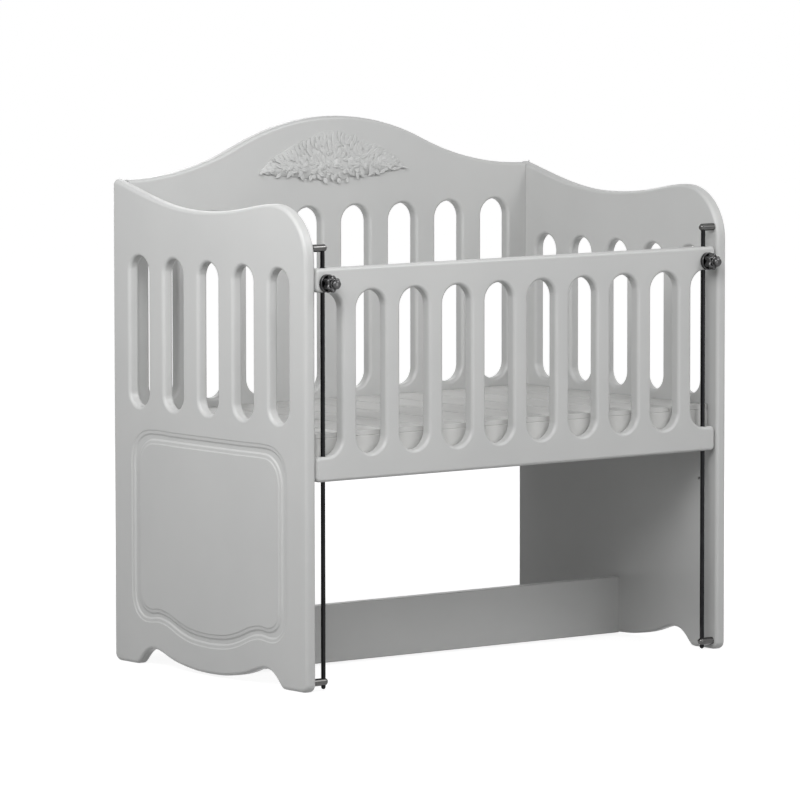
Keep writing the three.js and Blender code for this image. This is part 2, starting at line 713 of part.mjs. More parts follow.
// Carved spray: a low mound of leaves and blooms under the arch, here as its outline
function sprayOutline() {
  const half = sprayWidth / 2;
  const base = sprayBottom;
  const top = sprayTop;
  const right = [
    [half * 0.1, base], [half * 0.18, base + 8], [half * 0.34, base + 9], [half * 0.47, base + 9],
    [half * 0.6, base + 18], [half * 0.74, base + 12], [half * 0.88, base + 16], [half * 0.97, base + 15],
    [half, base + 20], [half * 0.97, base + 27], [half * 0.92, base + 35], [half * 0.82, base + 45],
    [half * 0.67, base + 60], [half * 0.47, base + 73], [half * 0.27, base + 84], [half * 0.13, base + 93],
    [half * 0.05, top],
  ];
  const points = [...right, ...right.map(([x, z]) => [-x, z]).reverse()];
  const curve = new THREE.CatmullRomCurve3(points.map(([x, z]) => new THREE.Vector3(x, z, 0)), true);
  const shape = new THREE.Shape();
  shape.setFromPoints(curve.getPoints(points.length * 2).slice(0, -1).map((p) => new THREE.Vector2(p.x, p.y)));
  return shape;
}

const spray = addPiece('carved_spray', roundedBoard(sprayOutline(), sprayThickness, sprayRound), 'lacquer');
stand(spray, alongCrib, forward, new THREE.Vector3(0, backFace - seatGap, 0));

export default group;
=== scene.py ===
import math
import random

import bpy
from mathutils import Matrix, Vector


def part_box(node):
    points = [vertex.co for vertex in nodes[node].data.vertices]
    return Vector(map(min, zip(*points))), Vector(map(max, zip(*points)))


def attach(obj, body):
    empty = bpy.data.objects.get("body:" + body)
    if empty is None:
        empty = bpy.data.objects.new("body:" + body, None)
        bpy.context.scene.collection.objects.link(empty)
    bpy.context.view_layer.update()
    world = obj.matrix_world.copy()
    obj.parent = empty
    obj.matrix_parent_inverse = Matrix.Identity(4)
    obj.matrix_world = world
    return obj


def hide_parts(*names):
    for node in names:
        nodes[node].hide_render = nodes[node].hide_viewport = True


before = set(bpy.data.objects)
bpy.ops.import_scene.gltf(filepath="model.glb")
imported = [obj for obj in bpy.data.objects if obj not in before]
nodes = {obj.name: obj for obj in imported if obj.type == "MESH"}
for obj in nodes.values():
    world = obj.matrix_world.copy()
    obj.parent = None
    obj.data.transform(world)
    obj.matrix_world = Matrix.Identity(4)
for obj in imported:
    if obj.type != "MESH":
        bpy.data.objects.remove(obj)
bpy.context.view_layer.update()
random.seed(7)
print("frame loaded:", len(nodes), "CAD nodes")

mm = 0.001
sameSpot = 0.00002     # corners nearer than this are merged
straight = 0.99        # least share of a normal along its axis for a face that lies flat
middleY = (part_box("left_end_panel")[0].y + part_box("left_end_panel")[1].y) / 2  # middle of the end panels

# places in mm that several pieces share
wall = 455             # inner faces of the end panels, from the middle
rear = 301.5           # rear of the back panel
rodAcross = 431.3      # rods and clamps, from the middle
clampHeight = 708


# helpers for working as by hand

def editMode():
    bpy.ops.object.mode_set(mode="EDIT")


def objectMode():
    bpy.ops.object.mode_set(mode="OBJECT")


def deselectAll():
    if bpy.context.mode != "OBJECT":
        objectMode()
    bpy.ops.object.select_all(action="DESELECT")


def makeActive(piece):
    deselectAll()
    piece.select_set(True)
    bpy.context.view_layer.objects.active = piece


def pick(piece, kind, test):
    # edit mode with only the vertices, edges or faces that pass the test selected
    makeActive(piece)
    editMode()
    bpy.ops.mesh.select_mode(type=kind)
    bpy.ops.mesh.select_all(action="DESELECT")
    objectMode()
    mesh = piece.data
    items = {"VERT": mesh.vertices, "EDGE": mesh.edges, "FACE": mesh.polygons}[kind]
    for item in items:
        item.select = test(item)
    editMode()


def joinPieces(pieces):
    deselectAll()
    for piece in pieces:
        piece.select_set(True)
    bpy.context.view_layer.objects.active = pieces[0]
    bpy.ops.object.join()
    return pieces[0]


def applyPlace(piece):
    makeActive(piece)
    bpy.ops.object.transform_apply(location=True, rotation=True, scale=True)


def applyModifiers(piece):
    makeActive(piece)
    for modifier in list(piece.modifiers):
        bpy.ops.object.modifier_apply(modifier=modifier.name)


def cutAway(piece, tool):
    modifier = piece.modifiers.new("cut", "BOOLEAN")
    modifier.operation = "DIFFERENCE"
    modifier.solver = "EXACT"
    modifier.object = tool
    applyModifiers(piece)
    bpy.data.objects.remove(tool)


def mergeClose(piece):
    makeActive(piece)
    editMode()
    bpy.ops.mesh.select_all(action="SELECT")
    bpy.ops.mesh.remove_doubles(threshold=sameSpot)
    bpy.ops.mesh.normals_make_consistent(inside=False)
    objectMode()


def softShading(piece, degrees=32, weighted=True):
    makeActive(piece)
    bpy.ops.object.shade_smooth_by_angle(angle=math.radians(degrees))
    if weighted:
        modifier = piece.modifiers.new("flatFacesFlat", "WEIGHTED_NORMAL")
        modifier.keep_sharp = True
        modifier.weight = 80
        applyModifiers(piece)


def copyOf(piece, name):
    twin = piece.copy()
    twin.data = piece.data.copy()
    twin.name = name
    bpy.context.scene.collection.objects.link(twin)
    return twin


def mirrorAcross(piece):
    # the crib is the same on both sides, so the left piece is the right one mirrored
    makeActive(piece)
    piece.scale = (-1, 1, 1)
    bpy.ops.object.transform_apply(location=False, rotation=False, scale=True)
    editMode()
    bpy.ops.mesh.select_all(action="SELECT")
    bpy.ops.mesh.normals_make_consistent(inside=False)
    objectMode()


def finishPiece(piece, name, body, node, material):
    piece.name = name
    piece.data.name = name
    piece.data.materials.clear()
    piece.data.materials.append(material)
    for face in piece.data.polygons:
        face.material_index = 0
    applyPlace(piece)
    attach(piece, body)
    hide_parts(node)
    deselectAll()


# camera, lights and stage

view = {
    "place": (-7.07236, -8.98043, 1.52341),
    "turn": (1.478227, 0.001171, -0.662916),
    "lens": 287.46,
}
bpy.ops.object.camera_add(location=view["place"], rotation=view["turn"])
camera = bpy.context.object
camera.data.lens = view["lens"]
camera.data.sensor_width = 36
camera.data.clip_end = 400
bpy.context.scene.camera = camera
bpy.context.scene.view_settings.view_transform = "Standard"

studio = {
    "worldLight": 0.0,
    "backdrop": 1.0,
    "floorSize": 300,
    "floorHeight": -0.0005,
    "floorPaint": (0.36, 0.36, 0.36),
    "floorGlow": 0.86,              # how white the floor shows under the crib
    "shadowReach": (0.7, 1.8),      # from here on it grows fully white
    # name, place, what it points at, size, power
    "softboxes": [
        ("topLeftSoftbox", (-1.7, -0.5, 1.9), (-0.2, 0, 0.7), 1.2, 15.5),
        ("leftSoftbox", (-2.0, 0.3, 1.3), (0, 0, 0.7), 1.2, 9),
        ("frontLeftSoftbox", (-1.7, -2.0, 1.4), (0, 0, 0.7), 1.2, 7.5),
        ("frontLeftHighSoftbox", (-1.5, -1.7, 2.2), (0, 0, 0.6), 1.2, 34),
        ("frontRightSoftbox", (1.8, -2.2, 1.6), (0, 0, 0.7), 1.0, 3.7),
        ("frontRightHighSoftbox", (1.2, -1.9, 2.2), (0, 0, 0.6), 1.4, 17.5),
        ("sparkleLamp", (1.25, -1.85, 2.25), (-0.4, -0.2, 0.7), 0.32, 4),
        ("lowFrontSoftbox", (0.6, -2.4, 0.6), (0.3, 0, 0.4), 1.0, 6.4),
        ("rearSoftbox", (0.7, 3.2, 1.6), (0, 0, 0.5), 2.2, 27),
        ("rightSoftbox", (3.2, 0.9, 1.5), (0, 0, 0.5), 2.0, 16),
    ],
}


def makeWorld():
    world = bpy.data.worlds.new("studio")
    bpy.context.scene.world = world
    world.use_nodes = True
    tree = world.node_tree
    tree.nodes.clear()
    output = tree.nodes.new("ShaderNodeOutputWorld")
    mix = tree.nodes.new("ShaderNodeMixShader")
    tree.links.new(shownRay(tree), mix.inputs["Fac"])
    for slot, strength in ((1, studio["worldLight"]), (2, studio["backdrop"])):
        white = tree.nodes.new("ShaderNodeBackground")
        white.inputs["Color"].default_value = (1, 1, 1, 1)
        white.inputs["Strength"].default_value = strength
        tree.links.new(white.outputs[0], mix.inputs[slot])
    tree.links.new(mix.outputs[0], output.inputs["Surface"])


def shownRay(tree):
    # 1 for rays that show the backdrop: the camera's, mirror images and what is seen through glass
    path = tree.nodes.new("ShaderNodeLightPath")
    first = tree.nodes.new("ShaderNodeMath")
    first.operation = "MAXIMUM"
    second = tree.nodes.new("ShaderNodeMath")
    second.operation = "MAXIMUM"
    tree.links.new(path.outputs["Is Camera Ray"], first.inputs[0])
    tree.links.new(path.outputs["Is Glossy Ray"], first.inputs[1])
    tree.links.new(first.outputs[0], second.inputs[0])
    tree.links.new(path.outputs["Is Transmission Ray"], second.inputs[1])
    return second.outputs[0]


def makeFloor():
    deselectAll()
    bpy.ops.mesh.primitive_plane_add(size=studio["floorSize"], location=(0, 0, studio["floorHeight"]))
    floor = bpy.context.object
    floor.name = "floor"
    material = bpy.data.materials.new("paleFloor")
    material.use_nodes = True
    tree = material.node_tree
    tree.nodes.clear()
    output = tree.nodes.new("ShaderNodeOutputMaterial")
    paint = tree.nodes.new("ShaderNodeBsdfDiffuse")
    paint.inputs["Color"].default_value = (*studio["floorPaint"], 1)
    glow = tree.nodes.new("ShaderNodeEmission")
    place = tree.nodes.new("ShaderNodeTexCoord")
    distance = tree.nodes.new("ShaderNodeVectorMath")
    distance.operation = "LENGTH"
    tree.links.new(place.outputs["Object"], distance.inputs[0])
    spread = tree.nodes.new("ShaderNodeMapRange")      # fully white away from the crib and its shadow
    spread.interpolation_type = "SMOOTHSTEP"
    spread.inputs["From Min"].default_value = studio["shadowReach"][0]
    spread.inputs["From Max"].default_value = studio["shadowReach"][1]
    spread.inputs["To Min"].default_value = studio["floorGlow"]
    spread.inputs["To Max"].default_value = 1.0
    tree.links.new(distance.outputs["Value"], spread.inputs["Value"])
    level = tree.nodes.new("ShaderNodeMath")
    level.operation = "MULTIPLY"
    tree.links.new(spread.outputs["Result"], level.inputs[1])
    both = tree.nodes.new("ShaderNodeAddShader")
    tree.links.new(shownRay(tree), level.inputs[0])
    tree.links.new(level.outputs[0], glow.inputs["Strength"])
    tree.links.new(paint.outputs[0], both.inputs[0])
    tree.links.new(glow.outputs[0], both.inputs[1])
    tree.links.new(both.outputs[0], output.inputs["Surface"])
    floor.data.materials.append(material)


def addSoftbox(name, place, target, size, power):
    bpy.ops.object.light_add(type="AREA", location=place)
    lamp = bpy.context.object
    lamp.name = name
    lamp.data.shape = "SQUARE"
    lamp.data.size = size
    lamp.data.energy = power
    lamp.rotation_euler = (Vector(target) - Vector(place)).to_track_quat("-Z", "Y").to_euler()


makeWorld()
makeFloor()
for softbox in studio["softboxes"]:
    addSoftbox(*softbox)
print("stage, lights and camera are up")


# finishes

def startMaterial(name):
    material = bpy.data.materials.new(name)
    material.use_nodes = True
    tree = material.node_tree
    shader = tree.nodes["Principled BSDF"]
    place = tree.nodes.new("ShaderNodeTexCoord")
    return material, tree, shader, place.outputs["Object"]


def addNoise(tree, place, scale, detail, stretch=None):
    if stretch:
        mapping = tree.nodes.new("ShaderNodeMapping")
        mapping.inputs["Scale"].default_value = stretch
        tree.links.new(place, mapping.inputs["Vector"])
        place = mapping.outputs["Vector"]
    noise = tree.nodes.new("ShaderNodeTexNoise")
    noise.inputs["Scale"].default_value = scale
    noise.inputs["Detail"].default_value = detail
    tree.links.new(place, noise.inputs["Vector"])
    return noise.outputs["Fac"]


def spreadOver(tree, source, low, high):
    spread = tree.nodes.new("ShaderNodeMapRange")
    spread.inputs["From Min"].default_value = 0.3
    spread.inputs["From Max"].default_value = 0.7
    spread.inputs["To Min"].default_value = low
    spread.inputs["To Max"].default_value = high
    tree.links.new(source, spread.inputs["Value"])
    return spread.outputs["Result"]


def mixColors(tree, factor, first, second):
    mix = tree.nodes.new("ShaderNodeMix")
    mix.data_type = "RGBA"
    mix.inputs["A"].default_value = (*first, 1)
    mix.inputs["B"].default_value = (*second, 1)
    tree.links.new(factor, mix.inputs["Factor"])
    return mix.outputs["Result"]


def addBump(tree, shader, height, strength, distance, after=None):
    bump = tree.nodes.new("ShaderNodeBump")
    bump.inputs["Strength"].default_value = strength
    bump.inputs["Distance"].default_value = distance
    tree.links.new(height, bump.inputs["Height"])
    if after:
        tree.links.new(after, bump.inputs["Normal"])
    tree.links.new(bump.outputs["Normal"], shader.inputs["Normal"])
    return bump.outputs["Normal"]


def addLook(tree, shader, look, colorNoise, roughNoise):
    # one noise moves the colour between two values, one the roughness
    tree.links.new(mixColors(tree, spreadOver(tree, colorNoise, 0, 1), look["light"], look["dark"]),
                   shader.inputs["Base Color"])
    tree.links.new(spreadOver(tree, roughNoise, *look["roughness"]), shader.inputs["Roughness"])


# noise: scale and detail; bump: strength and height in m
lacquer = {
    "light": (0.575, 0.578, 0.572),
    "dark": (0.545, 0.549, 0.545),
    "clouds": (5.0, 4.0),
    "roughness": (0.30, 0.40),
    "patches": (28.0, 3.0),
    "waves": (60.0, 2.0),
    "waveBump": (0.05, 0.0004),
    "peel": (850.0, 2.0),           # orange peel of the sprayed lacquer
    "peelBump": (0.05, 0.00015),
    "coat": 0.06,
    "coatRoughness": 0.2,
    "gloss": 0.35,                  # specular level
}


def makeLacquer(name, look):
    material, tree, shader, place = startMaterial(name)
    clouds, patches = (addNoise(tree, place, *look[kind]) for kind in ("clouds", "patches"))
    addLook(tree, shader, look, clouds, patches)
    shader.inputs["Specular IOR Level"].default_value = look["gloss"]
    shader.inputs["Coat Weight"].default_value = look["coat"]
    shader.inputs["Coat Roughness"].default_value = look["coatRoughness"]
    waves = addBump(tree, shader, addNoise(tree, place, *look["waves"]), *look["waveBump"])
    addBump(tree, shader, addNoise(tree, place, *look["peel"]), *look["peelBump"], waves)
    return material


paintedWood = {
    "light": (0.60, 0.60, 0.59),
    "dark": (0.54, 0.54, 0.53),
    "clouds": (7.0, 4.0),
    "roughness": (0.42, 0.58),
    "grain": (120.0, 5.0),
    "grainBump": (0.18, 0.0005),
}


def makePaintedWood(name, look, stretch):
    material, tree, shader, place = startMaterial(name)
    grain = addNoise(tree, place, *look["grain"], stretch)
    addLook(tree, shader, look, addNoise(tree, place, *look["clouds"]), grain)
    addBump(tree, shader, grain, *look["grainBump"])
    return material


# chrome whose base colour is held far below real chrome: a painted dark reflection of surroundings the scene
# does not have
chromeDarkForPaintedReflection = {
    "light": (0.088, 0.087, 0.088),
    "dark": (0.062, 0.062, 0.063),
    "haze": (90.0, 4.0),
    "roughness": (0.05, 0.11),
    "scratches": (1400.0, 2.0),
    "scratchBump": (0.02, 0.0001),
}
# the same chrome in a lighter copy, so the lamp stripe on the studs reads as a brighter painted highlight;
# still a painted dark reflection
studChromeLighterPaintedReflection = {**chromeDarkForPaintedReflection, "light": (0.11, 0.108, 0.106), "dark": (0.08, 0.08, 0.08),
              "roughness": (0.05, 0.1)}
# the same chrome held near black for the rods: a painted dark reflection
rodChromePaintedNearBlack = {**chromeDarkForPaintedReflection, "light": (0.020, 0.020, 0.021), "dark": (0.013, 0.013, 0.014),
                "roughness": (0.16, 0.28)}
zincPlate = {**chromeDarkForPaintedReflection, "light": (0.52, 0.53, 0.53), "dark": (0.36, 0.37, 0.36), "roughness": (0.28, 0.5),
             "scratchBump": (0.08, 0.0001)}


def makeMetal(name, look):
    material, tree, shader, place = startMaterial(name)
    haze = addNoise(tree, place, *look["haze"])
    addLook(tree, shader, look, haze, haze)
    shader.inputs["Metallic"].default_value = 1.0
    addBump(tree, shader, addNoise(tree, place, *look["scratches"]), *look["scratchBump"])
    return material


whiteNylon = {
    "light": (0.70, 0.70, 0.69),
    "dark": (0.62, 0.62, 0.61),
    "noise": (300.0, 3.0, None),
    "roughness": (0.4, 0.55),
    "bump": (0.1, 0.0002),
}
bareBeech = {
    "light": (0.60, 0.42, 0.25),
    "dark": (0.42, 0.27, 0.15),
    "noise": (260.0, 5.0, (0.12, 1, 1)),      # drawn out along the grain
    "roughness": (0.55, 0.75),
    "bump": (0.3, 0.0004),
}


def makePlain(name, look):
    # one noise for colour, roughness and bump
    material, tree, shader, place = startMaterial(name)
    noise = addNoise(tree, place, *look["noise"])
    addLook(tree, shader, look, noise, noise)
    addBump(tree, shader, noise, *look["bump"])
    return material


lacquerPaint = makeLacquer("whiteLacquer", lacquer)
carvingPaint = makeLacquer("carvingLacquer", {**lacquer, "roughness": (0.38, 0.5), "coat": 0.08})
slatPaint = makePaintedWood("slatPaint", paintedWood, (1, 0.06, 1))
railPaint = makePaintedWood("railPaint", paintedWood, (0.06, 1, 1))
sideRailPaint = makePaintedWood("sideRailPaint", paintedWood, (1, 0.06, 1))
chrome = makeMetal("chromeDarkForPaintedReflection", chromeDarkForPaintedReflection)
studMetal = makeMetal("studChromeLighterPaintedReflection", studChromeLighterPaintedReflection)
rodMetal = makeMetal("rodChromePaintedNearBlack", rodChromePaintedNearBlack)
zinc = makeMetal("zincPlate", zincPlate)
nylon = makePlain("whiteNylon", whiteNylon)
beech = makePlain("bareBeech", bareBeech)
print("finishes made")


# boards: an outline and its cut-outs are drawn flat, filled, pulled up to a thickness and rounded over

def smoothThrough(points, steps):
    # more points on a smooth line through the given ones, ends kept
    line = []
    last = len(points) - 1
    for i in range(last):
        before = Vector(points[max(i - 1, 0)])
        start = Vector(points[i])
        end = Vector(points[i + 1])
        after = Vector(points[min(i + 2, last)])
        pull = (end - start).length
        startWay = (end - before).normalized() * pull
        endWay = (after - start).normalized() * pull
        for step in range(steps):
            t = step / steps
            line.append(tuple(
                (2 * t ** 3 - 3 * t ** 2 + 1) * start + (t ** 3 - 2 * t ** 2 + t) * startWay
                + (3 * t ** 2 - 2 * t ** 3) * end + (t ** 3 - t ** 2) * endWay))
    line.append(tuple(points[last]))
    return line


def bezierLine(start, handleA, handleB, end, steps):
    a, b, c, d = (Vector(point) for point in (start, handleA, handleB, end))
    return [tuple((1 - t) ** 3 * a + 3 * (1 - t) ** 2 * t * b + 3 * (1 - t) * t * t * c + t ** 3 * d)
            for t in (step / steps for step in range(steps))]


def arcLine(centre, radius, fromDegrees, toDegrees, steps):
    return [(centre[0] + radius * math.cos(angle), centre[1] + radius * math.sin(angle))
            for angle in (math.radians(fromDegrees + (toDegrees - fromDegrees) * step / steps)
                          for step in range(steps + 1))]


def drawLine(points, closed=True):
    # one corner pulled out of the last, places in mm
    deselectAll()
    bpy.ops.mesh.primitive_plane_add(size=0.002, location=Vector(points[0]) * mm)
    line = bpy.context.object
    editMode()
    bpy.ops.mesh.select_mode(type="VERT")
    bpy.ops.mesh.merge(type="CENTER")
    last = Vector(points[0])
    for point in list(points[1:]) + ([points[0]] if closed else []):
        bpy.ops.mesh.extrude_region_move(TRANSFORM_OT_translate={"value": (Vector(point) - last) * mm})
        last = Vector(point)
    bpy.ops.mesh.select_all(action="SELECT")
    bpy.ops.mesh.remove_doubles(threshold=sameSpot)
    objectMode()
    applyPlace(line)
    return line


def drawOutline(points):
    return drawLine([(x, y, 0) for x, y in points])


def turnProfile(profile, segments, closed=False):
    # a line of (radius, height) spun about the upright axis
    turned = drawLine([(radius, 0, height) for radius, height in profile], closed)
    makeActive(turned)
    editMode()
    bpy.ops.mesh.select_all(action="SELECT")
    bpy.ops.mesh.spin(steps=segments, angle=2 * math.pi, center=(0, 0, 0), axis=(0, 0, 1))
    objectMode()
    mergeClose(turned)
    return turned


def drawSlot(centre, width, bottom, top, corners=40):
    # a circle whose upper half is pulled up
    deselectAll()
    radius = width / 2 * mm
    low = bottom * mm + radius
    bpy.ops.mesh.primitive_circle_add(vertices=corners, radius=radius, fill_type="NOTHING",
                                      location=(centre * mm, low, 0), rotation=(0, 0, math.pi / corners))
    slot = bpy.context.object
    applyPlace(slot)
    pick(slot, "VERT", lambda vertex: vertex.co.y > low)
    bpy.ops.transform.translate(value=(0, (top - bottom - width) * mm, 0))
    objectMode()
    return slot


def slotRow(count, pitch, width, bottom, top):
    return [drawSlot((i - (count - 1) / 2) * pitch, width, bottom, top) for i in range(count)]


def roundRim(radius, steps):
    # rings that follow a quarter circle, for the selected flat faces
    for step in range(steps):
        before = math.pi / 2 * step / steps
        after = math.pi / 2 * (step + 1) / steps
        bpy.ops.mesh.inset(use_boundary=True, use_even_offset=True,
                           thickness=radius * (math.cos(before) - math.cos(after)),
                           depth=radius * (math.sin(after) - math.sin(before)))


def makeBoard(lines, thickness, radius, steps=5):
    board = joinPieces(lines)
    makeActive(board)
    editMode()
    bpy.ops.mesh.select_mode(type="EDGE")
    bpy.ops.mesh.select_all(action="DESELECT")
    bpy.ops.mesh.select_non_manifold(extend=False, use_wire=True, use_boundary=True, use_multi_face=False,
                                     use_non_contiguous=False, use_verts=False)
    bpy.ops.mesh.fill(use_beauty=True)
    bpy.ops.mesh.select_all(action="SELECT")
    bpy.ops.mesh.normals_make_consistent(inside=False)
    bpy.ops.mesh.extrude_region_move(
        TRANSFORM_OT_translate={"value": (0, 0, (thickness - 2 * radius) * mm)})
    bpy.ops.mesh.select_all(action="SELECT")
    bpy.ops.mesh.normals_make_consistent(inside=False)
    bpy.ops.transform.translate(value=(0, 0, radius * mm))
    for side in (1, -1):
        pick(board, "FACE", lambda face: face.normal.z * side > straight)
        roundRim(radius * mm, steps)
    objectMode()
    return board


def cutRound(board, cutters):
    # each cutter: centre in mm, radius, length, axis; bores that cross each other are cut one after the other
    turns = {"x": (0, math.pi / 2, 0), "y": (math.pi / 2, 0, 0), "z": (0, 0, 0)}
    for direction, turn in turns.items():
        tools = []
        for centre, radius, length, axis in cutters:
            if axis != direction:
                continue
            deselectAll()
            bpy.ops.mesh.primitive_cylinder_add(vertices=40, radius=radius * mm, depth=length * mm,
                                                location=[value * mm for value in centre], rotation=turn)
            tools.append(bpy.context.object)
            applyPlace(tools[-1])
        if tools:
            cutAway(board, joinPieces(tools))


def standUp(board, location, facing):
    # drawn lying on its back: +y goes up, and the top face ends in front, or outside on the right
    board.location = location
    board.rotation_euler = {"front": (math.pi / 2, 0, 0), "right": (math.pi / 2, 0, math.pi / 2)}[facing]
    applyPlace(board)


# end panels

endPanel = {
    "thickness": 22,
    "roundOver": 6.5,
    "depth": 570,
    "backHeight": 866,
    "valley": (35, 819),
    "hump": (-190, 841.5),
    "shoulder": 95,
    "footRound": 14,
    "rearRound": 10,
    "rearDrop": 12.5,      # of that corner's centre below the top
    # end of the rear corner's arc and the handle of the curve that goes on from it, from the corner itself
    "rearCurve": [(-7.2, -2.9), (-85, -22)],
    "handles": (92, 125, 55),      # of the top edge: behind and in front of the valley, and behind the hump
    "slots": (5, 103, 57, 462, 730),      # count, pitch, width, bottom, top
    # lower edge from the back foot to the middle, the same towards the front
    "skirt": [(222, 0), (214, 1.2), (207, 7), (196, 18), (182, 27.5), (163, 31), (143, 27), (121, 19.5),
              (98, 13.5), (71, 9), (38, 5.2), (0, 4)],
    "grooveOuter": [(0, 424), (95, 424), (176, 424), (203, 416), (222, 398), (230.5, 371), (231, 340),
                    (231, 240), (231, 145), (229, 116), (219, 94), (200, 80), (176, 77), (150, 79.5),
                    (125, 75), (88, 61), (50, 52), (0, 49)],
    "grooveInner": [(0, 397), (90, 397), (166, 397), (184, 391.5), (197, 379), (203.5, 360), (204, 335),
                    (204, 240), (204, 152), (203, 131), (197, 116), (186, 107), (170, 104), (150, 106),
                    (121, 101), (86, 88.5), (50, 79.5), (0, 76)],
    # bores in the inner face: radius, depth, and for each its distance from the middle and its height
    "bores": [
        (3.8, 14.3, [(-273, 768.5), (-273, 16)]),                            # rod studs
        (3.3, 13.3, [(-236, 419), (236, 419), (-236, 309), (236, 309)]),     # base bolts, both settings
        (2.8, 11.3, [(274, 826), (274, 415), (0, 82)]),                      # cam bolts
        (4.15, 15.3, [(274, 600), (274, 385), (0, 30)]),                     # dowels
    ],
    # width and depth of each step from either edge of the groove to its bottom
    "grooveSteps": [(0.9, -0.12), (1.2, -0.85), (1.0, -0.25), (3.8, -0.1), (0.9, -0.3), (2.1, -1.5),
                    (1.0, -0.2)],
}


def endOutline():
    half, top = endPanel["depth"] / 2, endPanel["backHeight"]
    valley, hump, shoulder = endPanel["valley"], endPanel["hump"], endPanel["shoulder"]
    foot, corner = endPanel["footRound"], endPanel["rearRound"]
    skirt = smoothThrough(endPanel["skirt"], 3)
    line = arcLine((-half + foot, foot), foot, 180, 270, 6)
    line += [(-x, z) for x, z in skirt] + [(x, z) for x, z in reversed(skirt[:-1])]
    line += arcLine((half - foot, foot), foot, 270, 360, 6)
    line += arcLine((half - corner, top - endPanel["rearDrop"]), corner, 0, 74, 6)
    cornerEnd, cornerHandle = ((half + x, top + z) for x, z in endPanel["rearCurve"])
    behind, before, humpBehind = endPanel["handles"]
    line += bezierLine(cornerEnd, cornerHandle, (valley[0] + behind, valley[1]), valley, 22)[1:]
    line += bezierLine(valley, (valley[0] - before, valley[1]), (hump[0] + humpBehind, hump[1]), hump, 22)
    line += arcLine((hump[0], hump[1] - shoulder), shoulder, 90, 180, 18)
    return line


plainMark = bpy.data.materials.new("plainMark")
grooveMark = bpy.data.materials.new("grooveMark")


def drawGroove():
    rings = []
    for half in (endPanel["grooveOuter"], endPanel["grooveInner"]):
        right = smoothThrough(half, 4)
        rings.append(drawOutline(right + [(-x, z) for x, z in reversed(right[1:-1])]))
    ring = joinPieces(rings)
    editMode()
    bpy.ops.mesh.select_mode(type="EDGE")
    bpy.ops.mesh.select_all(action="SELECT")
    bpy.ops.mesh.bridge_edge_loops()
    objectMode()
    ring.data.materials.append(grooveMark)
    return ring


def makeEndPanel():
    thickness = endPanel["thickness"]
    outline = drawOutline(endOutline())
    outline.data.materials.append(plainMark)
    groove = drawGroove()
    board = makeBoard([outline, groove] + slotRow(*endPanel["slots"]), thickness, endPanel["roundOver"])
    grooveIndex = [material.name for material in board.data.materials].index("grooveMark")
    pick(board, "FACE", lambda face: face.material_index == grooveIndex and face.normal.z > straight
         and abs(face.center.z - thickness * mm) < 0.1 * mm)
    for width, depth in endPanel["grooveSteps"]:
        bpy.ops.mesh.inset(use_boundary=True, use_even_offset=True, thickness=width * mm, depth=depth * mm)
    objectMode()
    cutRound(board, [((across, height, reach / 2 - 1), radius, reach + 2, "z")
                     for radius, reach, places in endPanel["bores"] for across, height in places])
    return board


rightEnd = makeEndPanel()
print("end panel:", len(rightEnd.data.polygons), "faces")
standUp(rightEnd, (wall * mm, middleY, 0), "right")
softShading(rightEnd)
leftEnd = copyOf(rightEnd, "left_end_board")
mirrorAcross(leftEnd)
softShading(leftEnd)
finishPiece(rightEnd, "right_end_board", "frame", "right_end_panel", lacquerPaint)
finishPiece(leftEnd, "left_end_board", "frame", "left_end_panel", lacquerPaint)
print("end panels stand")


# back panel and lower stretcher, between the ends

backPanel = {
    "thickness": 22,
    "roundOver": 6,
    "bottom": 364,
    "endHeight": 862,
    "peak": 962,
    "archRadius": 505,
    "slots": (8, 108.6, 63, 461, 797),
    "cams": (826, 415),
    "dowels": (600, 385),
}
stretcher = {"thickness": 22, "roundOver": 2.5, "bottom": 4, "top": 108, "cams": (82,), "dowels": (30,)}
betweenEnds = {
    "half": 454.7,             # to the square ends
    "spare": 465,              # drawn this long, then trimmed
    "camInset": 24,
    "camBore": (7.8, 12.8),    # radius, depth
    # radius, place and length of the bores in the ends
    "boltBore": (3.8, 445, 28),
    "dowelBore": (4.15, 448, 28),
}


def backOutline():
    # half an arch that runs into half a hollow, mirrored
    rise = backPanel["peak"] - backPanel["endHeight"]
    angle = 2 * math.degrees(math.atan(rise / wall))
    radius = backPanel["archRadius"]
    flank = wall / math.sin(math.radians(angle)) - radius
    arch = arcLine((0, backPanel["peak"] - radius), radius, 90, 90 - angle, 22)
    hollow = arcLine((wall, backPanel["endHeight"] + flank), flank, 270 - angle, 270, 22)
    right = arch + hollow[1:] + [(betweenEnds["spare"], backPanel["endHeight"]),
                                 (betweenEnds["spare"], backPanel["bottom"])]
    return right + [(-x, z) for x, z in reversed(right[1:])]


def trimEnds(board):
    # square ends, where the board meets the end panels
    for side in (1, -1):
        pick(board, "FACE", lambda face: True)
        bpy.ops.mesh.bisect(plane_co=(side * betweenEnds["half"] * mm, 0, 0), plane_no=(side, 0, 0),
                            use_fill=True, clear_outer=True)
        objectMode()


def fittingBores(cams, dowels):
    middle = backPanel["thickness"] / 2
    camRadius, camDepth = betweenEnds["camBore"]
    bores = []
    for side in (1, -1):
        camX = side * (wall - betweenEnds["camInset"])
        bores += [((camX, height, camDepth / 2 - 1), camRadius, camDepth + 2, "z") for height in cams]
        for heights, kind in ((cams, "boltBore"), (dowels, "dowelBore")):
            radius, place, length = betweenEnds[kind]
            bores += [((side * place, height, middle), radius, length, "x") for height in heights]
    return bores


backBoard = makeBoard([drawOutline(backOutline())] + slotRow(*backPanel["slots"]), backPanel["thickness"],
                      backPanel["roundOver"])
trimEnds(backBoard)
cutRound(backBoard, fittingBores(backPanel["cams"], backPanel["dowels"]))
standUp(backBoard, (0, rear * mm, 0), "front")
softShading(backBoard)
finishPiece(backBoard, "back_board", "frame", "back_panel", lacquerPaint)

